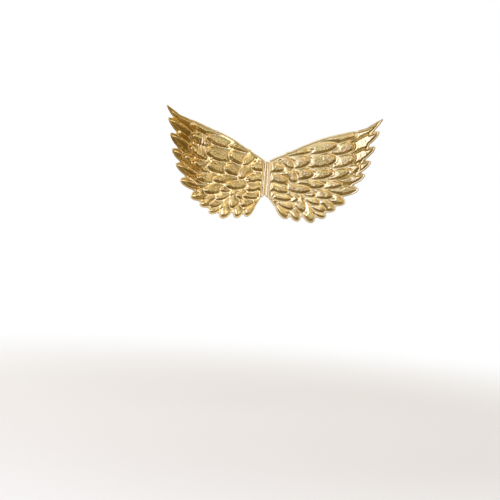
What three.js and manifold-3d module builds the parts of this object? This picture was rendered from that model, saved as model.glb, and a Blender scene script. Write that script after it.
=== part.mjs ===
// Padded angel wings for a small child's back, in gold metallic cloth over soft foam.
// Two mirrored panels with pressed feathers meet at a short rolled seam, and two elastic loops go round
// the shoulders.
// Millimetres, +Z up. The feathered face looks to -Y, the wearer's back is on the +Y side, and X runs to
// the right of somebody who looks at the feathers. The origin is the middle of the seam's face on the
// wearer's side.
import * as THREE from "three";
import { mergeVertices } from "three/addons/utils/BufferGeometryUtils.js";
import Module from "manifold-3d";

// Driving sizes of a panel
const SPAN = 250; // from the seam to the tip of the longest feather, along the panel
const SEAM_LENGTH = 76;
const SWEEP = THREE.MathUtils.degToRad(12.5); // each panel leans away from the back towards its tip
const FLANGE = 1.6; // pressed edge and groove, all layers welded together
const PUFF = 6.6; // how far a feather of full width stands above the flange
const FULL_WIDTH = 27.5; // narrower feathers hold less padding and stand lower
const BACKING = 0.5; // the plain back stands this far behind the feathers' own flanges
const GROOVE_STEP = 0.2; // the ground between feathers lies this far under their flanges
const SEWN_SHARE = 0.1; // the part of the span next to the seam that is held too firmly to be pulled
const CUP = 7; // the panel curves towards the viewer by this much at its tip

// Driving sizes of the seam
const ROLL_RADIUS = 2.2; // the two rolled edges that stand up along the seam
const ROLL_GAP_TOP = 0.2; // between the rolled edges
const ROLL_GAP_FOOT = 5.2;
const SEAM_POINT = 6.5; // the seam's foot is notched, its sides this much lower than its middle
const SEAM_BASE = 1.4; // tape that carries the rolled edges
const CLEARANCE = 0.35; // between pieces that are sewn together

// Driving sizes of the shoulder elastics
const STRAP_WIDTH = 12;
const STRAP_THICKNESS = 1.2;
const STRAP_REACH = 92; // how far the loop stands out from the back
const STRAP_SPREAD = 52; // how far the loop moves out from the seam
const STRAP_BULGE = 14; // how far the loop rises and falls past the ends that are sewn on
const STRAP_END_GAP = 3; // between the two elastics where they are sewn on
const STRAP_FLAT = 12; // length of each end that lies on the back of the seam
const STRAP_MARGIN = 6; // from the seam's ends to where the elastic leaves the back

const GOLD = { color: 0xc9a35c, roughness: 0.34, metalness: 0.9 };
const ELASTIC = { color: 0xcdb88a, roughness: 0.8, metalness: 0 };

const HUNDREDTH = SPAN / 100;

// The edge of the panel's backing, in hundredths of the span, from the seam outwards.
const BACKING_SECTIONS = [
  // out, top, foot
  [0, 1.1, -(SEAM_LENGTH + SEAM_POINT) / HUNDREDTH],
  [6, 4.3, -40],
  [13, 7.6, -46.5],
  [21, 11.7, -47],
  [30, 16.5, -46],
  [39, 20.8, -46.5],
  [48, 24.6, -45],
  [57, 27.7, -38.5],
  [66, 30.3, -32],
  [73, 32.2, -25],
  [79, 33.4, -15],
  [84, 35, 0],
  [88, 36.5, 11],
  [91, 37.5, 24],
].map(([out, top, foot]) => ({ out, top, foot }));

// The feathers of one panel, in hundredths of the span. Each lies over those that follow it in the list.
const FEATHERS = [
  // group, tip out, tip up, heading in degrees, length, width, pointed tip
  ["scroll", 14, -6, -8, 12.5, 8, 0],
  ["scroll", 18.5, -17, -10, 15, 8, 0],
  ["scroll", 18, -26, -12, 14.5, 7, 0],
  ["scroll", 21.5, -32.5, -6, 17, 6.5, 0],
  ["shoulder", 22.5, -4.5, -42, 15.5, 8, 0],
  ["shoulder", 25.5, -17, -50, 22.5, 11, 0],
  ["lesser", 38.5, 12.3, 11, 24, 5, 0],
  ["lesser", 38, 4.3, 12, 22.5, 12.5, 0],
  ["lesser", 61.5, 19.5, 16, 26, 9.5, 0],
  ["lesser", 61.5, 7, 12, 26, 13, 0],
  ["leading", 78, 29, 16.5, 44, 7, 0],
  ["lesser", 77, 19.5, 18, 21.5, 10.5, 0],
  ["lesser", 78, 9, 20, 21.5, 12, 0],
  ["middle", 41.5, -8.5, 5, 22.5, 10.5, 0],
  ["middle", 59, -6.5, 10, 22.5, 9.5, 0],
  ["middle", 74, -4, 16, 21.5, 10.5, 0],
  ["middle", 82.5, 0.5, 22, 18, 9, 0],
  ["lower", 39, -23.5, -2, 19.5, 8, 0],
  ["lower", 52, -18.5, -1, 23.5, 8, 0],
  ["lower", 68, -17, 3, 21.5, 8.5, 0],
  ["lower", 28, -32.5, -8, 16, 8, 0],
  ["lower", 44, -28, -15, 14.5, 7, 0],
  ["lower", 60, -28.5, -10, 21.5, 9.5, 0],
  ["lower", 48, -36, -25, 14.5, 7, 0],
  ["lower", 33.7, -43.5, -60, 18, 9.5, 0],
  ["lower", 24, -41, -25, 16, 8, 0],
  ["lower", 54, -42.5, -25, 14.5, 7, 0],
  ["edge", 18.5, -51, -62, 21.5, 11.5, 0],
  ["edge", 29, -52.7, -66, 19.5, 11.5, 0],
  ["edge", 42.7, -53.3, -60, 20.5, 12, 0],
  ["edge", 54.3, -48.5, -38, 18, 10.5, 0],
  ["edge", 63.3, -41, -18, 19.5, 10.5, 0],
  ["edge", 72, -34.2, -12, 23.5, 11.5, 0],
  ["edge", 83, -20.5, 10, 27, 10.5, 0.1],
  ["edge", 88, -7, 20, 25, 9.5, 0.3],
  ["edge", 92.5, 5.5, 23, 23.5, 9.5, 0.4],
  ["edge", 95.6, 19, 26, 27, 10, 0.5],
  ["edge", 98, 32.8, 26, 27, 10, 0.6],
  ["edge", 100, 44.5, 33, 32.5, 7.2, 1],
].map(featherFrom);

// Where cloth pulls a panel out of its pattern, in hundredths of the span: a place, how far it reaches and
// the shift.
const LEFT_PULLS = [
  // out, up, reach, shift out, shift up, shift towards the viewer
  [26, -52, 26, -2.8, -0.2, 0],
  [68, -38, 26, 0, -1.8, 0],
  [90, 0, 30, 0.8, -0.6, 0],
  [100, 44, 16, 0.4, -1.2, 0],
  [69, 12, 9, 0, 0, -1],
  [58, 28, 18, 0, -1.5, 0],
  [0, -36, 9, 0, -3, 0],
].map(pullFrom);
const RIGHT_PULLS = [
  // out, up, reach, shift out, shift up, shift towards the viewer
  [26, -52, 26, 0.4, -0.4, 0],
  [68, -38, 26, -0.6, 1, 0],
  [90, 0, 30, 0.4, 0.4, 0],
  [100, 44, 16, 1, 0.8, 0],
].map(pullFrom);

// The left panel buckles along an upright line, and its fan turns back towards the wearer from there.
// The right panel's long tips turn towards the viewer along a sharper line.
const LEFT_FOLD = { out: 0.65 * SPAN, turn: THREE.MathUtils.degToRad(9), softness: 12 };
const RIGHT_FOLD = { out: 0.76 * SPAN, turn: THREE.MathUtils.degToRad(-14), softness: 3 };

const wasm = await Module();
wasm.setup();

function featherFrom([group, out, up, heading, length, width, pointed]) {
  return { group, out, up, heading, length, width, pointed };
}

function pullFrom([out, up, reach, shiftOut, shiftUp, shiftFront]) {
  return { out, up, reach, shiftOut, shiftUp, shiftFront };
}

// Solids from rings

// A closed solid from rings with the same number of points, the first and last filled flat.
function solidFromRings(rings) {
  const count = rings[0].length;
  const positions = rings.flat().flatMap((p) => [p.x, p.y, p.z]);
  const indices = [];
  for (let r = 0; r + 1 < rings.length; r += 1) {
    for (let i = 0; i < count; i += 1) {
      const a = r * count + i;
      const b = r * count + ((i + 1) % count);
      indices.push(a, b, b + count, a, b + count, a + count);
    }
  }
  addCap(indices, rings[0], 0, true);
  addCap(indices, rings.at(-1), (rings.length - 1) * count, false);
  const geometry = new THREE.BufferGeometry();
  geometry.setAttribute("position", new THREE.Float32BufferAttribute(positions, 3));
  geometry.setIndex(indices);
  return facingOut(geometry);
}

function addCap(indices, ring, start, reversed) {
  const { u, v } = planeAxes(ring);
  const flat = ring.map((p) => new THREE.Vector2(p.dot(u), p.dot(v)));
  for (const [a, b, c] of THREE.ShapeUtils.triangulateShape(flat, [])) {
    const face = reversed ? [a, c, b] : [a, b, c];
    indices.push(...face.map((i) => i + start));
  }
}

function planeAxes(ring) {
  const normal = new THREE.Vector3();
  ring.forEach((p, i) => normal.add(new THREE.Vector3().crossVectors(p, ring[(i + 1) % ring.length])));
  normal.normalize();
  const side = Math.abs(normal.z) < 0.9 ? new THREE.Vector3(0, 0, 1) : new THREE.Vector3(1, 0, 0);
  const u = new THREE.Vector3().crossVectors(side, normal).normalize();
  return { u, v: new THREE.Vector3().crossVectors(normal, u) };
}

function facingOut(geometry) {
  if (signedVolume(geometry) < 0) {
    const index = geometry.index.array;
    for (let i = 0; i < index.length; i += 3) [index[i + 1], index[i + 2]] = [index[i + 2], index[i + 1]];
  }
  return geometry;
}

function signedVolume(geometry) {
  const position = geometry.attributes.position;
  const index = geometry.index.array;
  const [a, b, c] = [new THREE.Vector3(), new THREE.Vector3(), new THREE.Vector3()];
  let volume = 0;
  for (let i = 0; i < index.length; i += 3) {
    a.fromBufferAttribute(position, index[i]);
    b.fromBufferAttribute(position, index[i + 1]);
    c.fromBufferAttribute(position, index[i + 2]);
    volume += a.dot(b.cross(c)) / 6;
  }
  return volume;
}

function toManifold(geometry) {
  const merged = mergeVertices(geometry, 1e-5);
  return new wasm.Manifold(
    new wasm.Mesh({
      numProp: 3,
      vertProperties: new Float32Array(merged.attributes.position.array),
      triVerts: new Uint32Array(merged.index.array),
    }),
  );
}

function fromManifold(solid) {
  const mesh = solid.getMesh();
  const positions = Float32Array.from(mesh.vertProperties);
  const geometry = new THREE.BufferGeometry();
  geometry.setAttribute("position", new THREE.Float32BufferAttribute(positions, 3));
  geometry.setIndex(Array.from(mesh.triVerts));
  return geometry;
}

// A feather, on the flat pattern: x outwards, y up, z towards the viewer

// Shares of a feather's length at which its outline has points, more of them on the panel's edge.
function stations(feather) {
  return feather.group === "edge" ? [0, 0.3, 0.56, 0.76, 0.9, 0.98] : [0, 0.4, 0.66, 0.87, 0.98];
}

// A round feather's value and a pointed feather's value
const NOSE_SHARE = [0.5, 0.75]; // of the length, where the sides draw in
const NOSE_POWER = [0.5, 0.72]; // a half gives an ellipse
const ROOT_WIDTH = 0.72; // of the full width
const ROOT_SHARE = 0.35; // of the length, where the root widens
const TIP_LEAN = 0.6; // of the width, for a pointed tip

// Half the width at a share of the length: full in the middle, narrower at the root, rounded off at the tip.
function halfWidth(feather, share) {
  const nose = THREE.MathUtils.lerp(...NOSE_SHARE, feather.pointed);
  const beyond = Math.max(0, (share - (1 - nose)) / nose);
  const tip = Math.pow(1 - beyond * beyond, THREE.MathUtils.lerp(...NOSE_POWER, feather.pointed));
  const root = THREE.MathUtils.lerp(ROOT_WIDTH, 1, Math.min(1, share / ROOT_SHARE));
  return (feather.width / 2) * HUNDREDTH * tip * root;
}

// A point on the feather's middle line: a pointed tip leans to its upper edge.
function middleLine(feather, share) {
  const heading = THREE.MathUtils.degToRad(feather.heading);
  const along = (share - 1) * feather.length * HUNDREDTH;
  const lean = (share * share - 1) * feather.pointed * TIP_LEAN * feather.width * HUNDREDTH;
  return new THREE.Vector2(
    feather.out * HUNDREDTH + along * Math.cos(heading) - lean * Math.sin(heading),
    feather.up * HUNDREDTH + along * Math.sin(heading) + lean * Math.cos(heading),
  );
}

function featherOutline(feather) {
  const heading = THREE.MathUtils.degToRad(feather.heading);
  const across = new THREE.Vector2(-Math.sin(heading), Math.cos(heading));
  const shares = stations(feather);
  const edge = (share, side) => ({
    share,
    point: middleLine(feather, share).addScaledVector(across, side * halfWidth(feather, share)),
  });
  const lower = shares.map((share) => edge(share, -1));
  const upper = shares.map((share) => edge(share, 1)).reverse();
  return [...lower, { share: 1, point: middleLine(feather, 1) }, ...upper];
}

// How high the padding stands along a feather: flat where the feather before it lies on its root.
function puffHeight(feather, share) {
  const rise = THREE.MathUtils.smoothstep(share, 0, 0.55);
  const fullness = Math.min(1, Math.sqrt((feather.width * HUNDREDTH) / FULL_WIDTH));
  return PUFF * fullness * THREE.MathUtils.lerp(0.3, 1, rise);
}

function featherSolid(feather) {
  const outline = featherOutline(feather);
  const inset = ({ share, point }, amount) => {
    const middle = middleLine(feather, THREE.MathUtils.clamp(share, 0.16, 0.8));
    return new THREE.Vector2().lerpVectors(point, middle, amount);
  };
  const ring = (amount, height) =>
    outline.map((corner) => {
      const flat = inset(corner, amount);
      return new THREE.Vector3(flat.x, flat.y, height(corner.share));
    });
  return toManifold(
    solidFromRings([
      ring(0, () => 0),
      ring(0, () => FLANGE),
      ring(0.34, (share) => FLANGE + 0.72 * puffHeight(feather, share)),
      ring(0.8, (share) => FLANGE + puffHeight(feather, share)),
    ]),
  );
}

// The backing that the feathers are pressed on, a plate through the sections
function backingSolid() {
  const corner = (section, height, z) =>
    new THREE.Vector3(section.out * HUNDREDTH, height * HUNDREDTH, z);
  const rows = [0, 0.5, 1];
  const outline = (section, z) =>
    rows.map((t) => corner(section, THREE.MathUtils.lerp(section.foot, section.top, t), z));
  const front = FLANGE - GROOVE_STEP;
  const rings = BACKING_SECTIONS.map((section) => [
    ...outline(section, -BACKING),
    ...outline(section, front).reverse(),
  ]);
  return toManifold(solidFromRings(rings));
}

// From the flat pattern to where the cloth hangs

function pulled(point, pulls) {
  const moved = point.clone();
  for (const pull of pulls) {
    const distance = Math.hypot(point.x / HUNDREDTH - pull.out, point.y / HUNDREDTH - pull.up) / pull.reach;
    const free = THREE.MathUtils.smoothstep(point.x, 0, SEWN_SHARE * SPAN);
    const strength = free * Math.exp(-distance * distance) * HUNDREDTH;
    moved.x += pull.shiftOut * strength;
    moved.y += pull.shiftUp * strength;
    moved.z += pull.shiftFront * strength;
  }
  return moved;
}

// How far the panel stands towards the viewer at a distance from the seam.
function cupping(out, fold) {
  const beyond = fold.softness * Math.log1p(Math.exp((out - fold.out) / fold.softness));
  return CUP * (out / SPAN) ** 2 - Math.tan(fold.turn) * beyond;
}

// side is 1 for the right panel and -1 for the left one.
function hang(point, side, pulls, fold) {
  const p = pulled(point, pulls);
  const front = p.z + cupping(p.x, fold);
  const start = seamHalfWidth(p.y + SEAM_LENGTH / 2) + CLEARANCE + FLANGE * Math.sin(SWEEP);
  return new THREE.Vector3(
    side * (start + p.x * Math.cos(SWEEP) - front * Math.sin(SWEEP)),
    -(p.x * Math.sin(SWEEP) + front * Math.cos(SWEEP)) - BACKING,
    p.y + SEAM_LENGTH / 2,
  );
}

function wingGeometry(side, pulls, fold) {
  let solid = backingSolid();
  for (const feather of FEATHERS) solid = solid.add(featherSolid(feather));
  const geometry = fromManifold(solid);
  const position = geometry.attributes.position;
  for (let i = 0; i < position.count; i += 1) {
    const placed = hang(new THREE.Vector3().fromBufferAttribute(position, i), side, pulls, fold);
    position.setXYZ(i, placed.x, placed.y, placed.z);
  }
  return facingOut(geometry);
}

// The seam: two rolled edges on a tape, closer together at the top

function seamHalfWidth(height) {
  const share = THREE.MathUtils.clamp(0.5 - height / SEAM_LENGTH, 0, 1);
  return 2 * ROLL_RADIUS + THREE.MathUtils.lerp(ROLL_GAP_TOP, ROLL_GAP_FOOT, share) / 2;
}

// Half of the seam's section from the middle outwards, on the viewer's side.
function seamProfile(half) {
  const centre = half - ROLL_RADIUS;
  const roll = [1, 0.8, 0.6, 0.4, 0.2, 0].map((turn) => {
    const angle = Math.PI * turn;
    return new THREE.Vector2(
      centre + ROLL_RADIUS * Math.cos(angle),
      SEAM_BASE + ROLL_RADIUS * Math.sin(angle),
    );
  });
  return [new THREE.Vector2(0, SEAM_BASE), ...roll];
}

// What the notch takes off the seam's foot, a wedge from the viewer's side to the wearer's.
function seamNotch() {
  const reach = 2 * seamHalfWidth(-SEAM_LENGTH / 2);
  const top = -SEAM_LENGTH / 2;
  const ring = (y) => [
    new THREE.Vector3(0, y, top),
    new THREE.Vector3(reach, y, top - 2 * SEAM_POINT),
    new THREE.Vector3(-reach, y, top - 2 * SEAM_POINT),
  ];
  return toManifold(solidFromRings([ring(2), ring(-3 * ROLL_RADIUS)]));
}

function seamGeometry() {
  const foot = -SEAM_LENGTH / 2 - SEAM_POINT - 1;
  const heights = [foot, ...[-0.5, -0.25, 0, 0.25, 0.5].map((share) => share * SEAM_LENGTH)];
  const rings = heights.map((height) => {
    const half = seamProfile(seamHalfWidth(height));
    const right = half.map((p) => new THREE.Vector3(p.x, -p.y, height));
    const left = half.slice(1).map((p) => new THREE.Vector3(-p.x, -p.y, height));
    const edge = seamHalfWidth(height);
    return [
      new THREE.Vector3(-edge, 0, height),
      ...left.reverse(),
      ...right,
      new THREE.Vector3(edge, 0, height),
    ];
  });
  return facingOut(fromManifold(toManifold(solidFromRings(rings)).subtract(seamNotch())));
}

// The elastics

// Middle line of a loop: flat on the seam, up over the shoulder and back under the arm.
function strapPath(side) {
  const back = CLEARANCE + STRAP_THICKNESS / 2;
  const end = (STRAP_WIDTH + STRAP_END_GAP) / 2;
  const sewn = SEAM_LENGTH / 2 - STRAP_MARGIN;
  const inner = (sewn - STRAP_FLAT) / sewn;
  const points = [
    // share of the reach, share of the sewn end's height, share of the bulge, share of the spread
    [0, inner, 0, 0],
    [0, (1 + inner) / 2, 0, 0],
    [0.02, 1, 0, 0.02],
    [0.16, 1, 0.35, 0.2],
    [0.42, 1, 1, 0.55],
    [0.72, 1, 0.6, 0.9],
    [0.96, 0.46, 0, 1],
    [1, -0.4, 0, 1],
    [0.84, -1, -0.2, 0.92],
    [0.54, -1, -0.86, 0.68],
    [0.22, -1, -0.6, 0.32],
    [0.02, -1, 0, 0.02],
    [0, -(1 + inner) / 2, 0, 0],
    [0, -inner, 0, 0],
  ].map(
    ([reach, height, bulge, spread]) =>
      new THREE.Vector3(
        side * (end + spread * STRAP_SPREAD),
        back + reach * STRAP_REACH,
        height * sewn + bulge * STRAP_BULGE,
      ),
  );
  return new THREE.CatmullRomCurve3(points, false, "centripetal");
}

const STRAP_STEPS = 40;

function strapGeometry(side) {
  const curve = strapPath(side);
  const rings = [];
  for (let i = 0; i <= STRAP_STEPS; i += 1) {
    const middle = curve.getPointAt(i / STRAP_STEPS);
    const along = curve.getTangentAt(i / STRAP_STEPS);
    const normal = new THREE.Vector3().crossVectors(along, new THREE.Vector3(1, 0, 0)).normalize();
    const across = new THREE.Vector3().crossVectors(normal, along).normalize();
    rings.push(
      [[-1, -1], [1, -1], [1, 1], [-1, 1]].map(([u, v]) =>
        middle.clone()
          .addScaledVector(across, (u * STRAP_WIDTH) / 2)
          .addScaledVector(normal, (v * STRAP_THICKNESS) / 2),
      ),
    );
  }
  return solidFromRings(rings);
}

// Assembly

const group = new THREE.Group();

function addPiece(name, geometry, finish) {
  const mesh = new THREE.Mesh(geometry, new THREE.MeshStandardMaterial(finish));
  mesh.name = name;
  group.add(mesh);
}

addPiece("left_wing", wingGeometry(-1, LEFT_PULLS, LEFT_FOLD), GOLD);
addPiece("right_wing", wingGeometry(1, RIGHT_PULLS, RIGHT_FOLD), GOLD);
addPiece("centre_seam", seamGeometry(), GOLD);
addPiece("left_shoulder_strap", strapGeometry(-1), ELASTIC);
addPiece("right_shoulder_strap", strapGeometry(1), ELASTIC);

export default group;
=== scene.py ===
"""Looks of a small child's padded angel wings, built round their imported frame.

Two panels of gold metallic cloth over soft foam are pressed into overlapping feathers. Their inner edges
are rolled and sewn together at a short seam, and two elastic loops on the wearer's side go round the
shoulders.

The frame is in metres, +Z up. The feathered face looks to -Y, the wearer is on the +Y side, and X runs to
the right of somebody who looks at the feathers. The pieces' sizes are millimetres, which MM turns into
metres, and the studio's are metres.
"""

from __future__ import annotations

import logging
import math
from dataclasses import dataclass, field
from enum import Enum
from typing import Any, Sequence

import bpy
import numpy as np
from mathutils import Matrix, Vector


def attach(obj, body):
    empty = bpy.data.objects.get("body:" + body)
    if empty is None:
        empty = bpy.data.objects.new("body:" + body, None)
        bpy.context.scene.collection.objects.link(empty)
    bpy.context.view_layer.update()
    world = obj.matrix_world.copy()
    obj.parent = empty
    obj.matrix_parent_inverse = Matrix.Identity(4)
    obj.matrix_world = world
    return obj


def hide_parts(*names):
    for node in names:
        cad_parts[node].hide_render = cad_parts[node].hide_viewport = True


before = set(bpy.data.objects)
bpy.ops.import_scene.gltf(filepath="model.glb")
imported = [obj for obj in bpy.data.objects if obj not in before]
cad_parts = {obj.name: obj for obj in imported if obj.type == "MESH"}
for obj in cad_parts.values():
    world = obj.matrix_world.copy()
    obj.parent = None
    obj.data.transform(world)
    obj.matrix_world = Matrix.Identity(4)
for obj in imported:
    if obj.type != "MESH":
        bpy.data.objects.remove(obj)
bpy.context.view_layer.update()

LOG = logging.getLogger("angel_wings")
MM = 0.001
NOISE_TABLE = 256  # random heights each way
MAP_UNIT = 10.0  # millimetres of cloth for one unit of its map
BODY = "root"
Array = np.ndarray
Pair = tuple[float, float]
Rgb = tuple[float, float, float]
BLACK, WHITE = (0.0, 0.0, 0.0), (1.0, 1.0, 1.0)


class Side(Enum):
    """Which of a mirrored pair, as seen by somebody who looks at the feathers. The value is the sign of X."""

    LEFT = -1
    RIGHT = 1


# Arrays of numbers


def smoothstep(values: Array, low: float, high: float) -> Array:
    """Smooth rise from 0 at low to 1 at high: t * t * (3 - 2 t) of the clipped share t."""
    share = np.clip((values - low) / (high - low), 0.0, 1.0)
    return share * share * (3.0 - 2.0 * share)


def cloth_noise(u: Array, v: Array, seed: int) -> Array:
    """Smooth noise from -1 to 1: random heights at whole u and v, blended with a smoothstep in both ways.

    Args:
        u: first coordinate, one bump for each whole number.
        v: second coordinate.
        seed: which of the fixed random tables is read.

    Returns:
        One height for each point.
    """
    table = np.random.default_rng(seed).uniform(-1.0, 1.0, (NOISE_TABLE, NOISE_TABLE))
    column, row = np.floor(u).astype(int), np.floor(v).astype(int)
    s, t = u - column, v - row
    s, t = s * s * (3.0 - 2.0 * s), t * t * (3.0 - 2.0 * t)

    def height(i: int, j: int) -> Array:
        """The table's height at the corner i, j of each point's square."""
        return table[(column + i) % NOISE_TABLE, (row + j) % NOISE_TABLE]

    near = height(0, 0) * (1.0 - s) + height(1, 0) * s
    far = height(0, 1) * (1.0 - s) + height(1, 1) * s
    return near * (1.0 - t) + far * t


def softened(grid: Array, passes: int) -> Array:
    """A grid, each point averaged with its neighbours in both directions: a quarter, a half, a quarter."""
    for _ in range(passes):
        for axis in (0, 1):
            wide = np.pad(grid, [(1, 1) if axis == side else (0, 0) for side in (0, 1)], mode="edge")
            count = grid.shape[axis]
            before, after = (wide.take(np.arange(start, start + count), axis) for start in (0, 2))
            grid = 0.5 * grid + 0.25 * (before + after)
    return grid


def travelled(points: Array, power: float = 1.0) -> Array:
    """How far along its path each point lies, each step to that power."""
    steps = np.linalg.norm(np.diff(points, axis=0), axis=1) ** power
    return np.concatenate([[0.0], np.cumsum(steps)])


def polygon_distance(x: Array, y: Array, corners: Array) -> Array:
    """Distance from each point to a closed outline, less than 0 inside it.

    The nearest point of each edge gives the distance, and the number of edges that a level ray crosses
    gives the side.

    Args:
        x: points' x.
        y: points' y, of the same shape.
        corners: the outline's corners, one row each.

    Returns:
        The signed distances.
    """
    nearest = np.full(x.shape, np.inf)
    inside = np.zeros(x.shape, bool)
    for (ax, ay), (bx, by) in zip(corners, np.roll(corners, -1, axis=0)):
        ex, ey = bx - ax, by - ay
        wx, wy = x - ax, y - ay
        share = np.clip((wx * ex + wy * ey) / max(ex * ex + ey * ey, 1e-12), 0.0, 1.0)
        nearest = np.minimum(nearest, (wx - ex * share) ** 2 + (wy - ey * share) ** 2)
        if ay != by:
            inside ^= ((ay > y) != (by > y)) & (wx < ex * wy / ey)
    return np.where(inside, -1.0, 1.0) * np.sqrt(nearest)


# The pattern of a panel


@dataclass(frozen=True)
class Feather:
    """A pressed feather. Its tip, length and width are hundredths of the span, its heading is in degrees."""

    group: str
    out: float
    up: float
    heading: float
    length: float
    width: float
    pointed: float


# The feathers of one panel. Each lies over those that follow it.
FEATHERS = [
    Feather(*row)
    for row in [
        # group, tip out, tip up, heading, length, width, pointed tip
        ("scroll", 14, -6, -8, 12.5, 8, 0),
        ("scroll", 18.5, -17, -10, 15, 8, 0),
        ("scroll", 18, -26, -12, 14.5, 7, 0),
        ("scroll", 21.5, -32.5, -6, 17, 6.5, 0),
        ("shoulder", 22.5, -4.5, -42, 15.5, 8, 0),
        ("shoulder", 25.5, -17, -50, 22.5, 11, 0),
        ("lesser", 38.5, 12.3, 11, 24, 5, 0),
        ("lesser", 38, 4.3, 12, 22.5, 12.5, 0),
        ("lesser", 61.5, 19.5, 16, 26, 9.5, 0),
        ("lesser", 61.5, 7, 12, 26, 13, 0),
        ("leading", 78, 29, 16.5, 44, 7, 0),
        ("lesser", 77, 19.5, 18, 21.5, 10.5, 0),
        ("lesser", 78, 9, 20, 21.5, 12, 0),
        ("middle", 41.5, -8.5, 5, 22.5, 10.5, 0),
        ("middle", 59, -6.5, 10, 22.5, 9.5, 0),
        ("middle", 74, -4, 16, 21.5, 10.5, 0),
        ("middle", 82.5, 0.5, 22, 18, 9, 0),
        ("lower", 39, -23.5, -2, 19.5, 8, 0),
        ("lower", 52, -18.5, -1, 23.5, 8, 0),
        ("lower", 68, -17, 3, 21.5, 8.5, 0),
        ("lower", 28, -32.5, -8, 16, 8, 0),
        ("lower", 44, -28, -15, 14.5, 7, 0),
        ("lower", 60, -28.5, -10, 21.5, 9.5, 0),
        ("lower", 48, -36, -25, 14.5, 7, 0),
        ("lower", 33.7, -43.5, -60, 18, 9.5, 0),
        ("lower", 24, -41, -25, 16, 8, 0),
        ("lower", 54, -42.5, -25, 14.5, 7, 0),
        ("edge", 18.5, -51, -62, 21.5, 11.5, 0),
        ("edge", 29, -52.7, -66, 19.5, 11.5, 0),
        ("edge", 42.7, -53.3, -60, 20.5, 12, 0),
        ("edge", 54.3, -48.5, -38, 18, 10.5, 0),
        ("edge", 63.3, -41, -18, 19.5, 10.5, 0),
        ("edge", 72, -34.2, -12, 23.5, 11.5, 0),
        ("edge", 83, -20.5, 10, 27, 10.5, 0.1),
        ("edge", 88, -7, 20, 25, 9.5, 0.3),
        ("edge", 92.5, 5.5, 23, 23.5, 9.5, 0.4),
        ("edge", 95.6, 19, 26, 27, 10, 0.5),
        ("edge", 98, 32.8, 26, 27, 10, 0.6),
        ("edge", 100, 44.5, 33, 32.5, 7.2, 1),
    ]
]

# The edge of the panel's backing in hundredths of the span: out, top, foot.
BACKING_SECTIONS = [
    (0, 1.1, -33),
    (6, 4.3, -40),
    (13, 7.6, -46.5),
    (21, 11.7, -47),
    (30, 16.5, -46),
    (39, 20.8, -46.5),
    (48, 24.6, -45),
    (57, 27.7, -38.5),
    (66, 30.3, -32),
    (73, 32.2, -25),
    (79, 33.4, -15),
    (84, 35, 0),
    (88, 36.5, 11),
    (91, 37.5, 24),
]


@dataclass(frozen=True)
class PanelField:
    """What the pressed pattern gives at each point of a grid over the panel, in millimetres."""

    x: Array
    y: Array
    depth: Array  # from the panel's outline inwards, less than 0 outside
    puff: Array  # share of the full padding, 0 in a groove
    height: Array  # above the flange
    along: Array  # in the feather's own directions, from its tip
    across: Array
    tone: Array  # one random number for each feather
    crinkle: Array  # how much the foil is crinkled, by the feather's group
    weld: Array  # share of painted shade along the weld line inside the outline, and over the flat grooves and rim of a pointed feather
    dome: Array  # 1 on the feather's middle line, falling by the square to 0 at its sides


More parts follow.
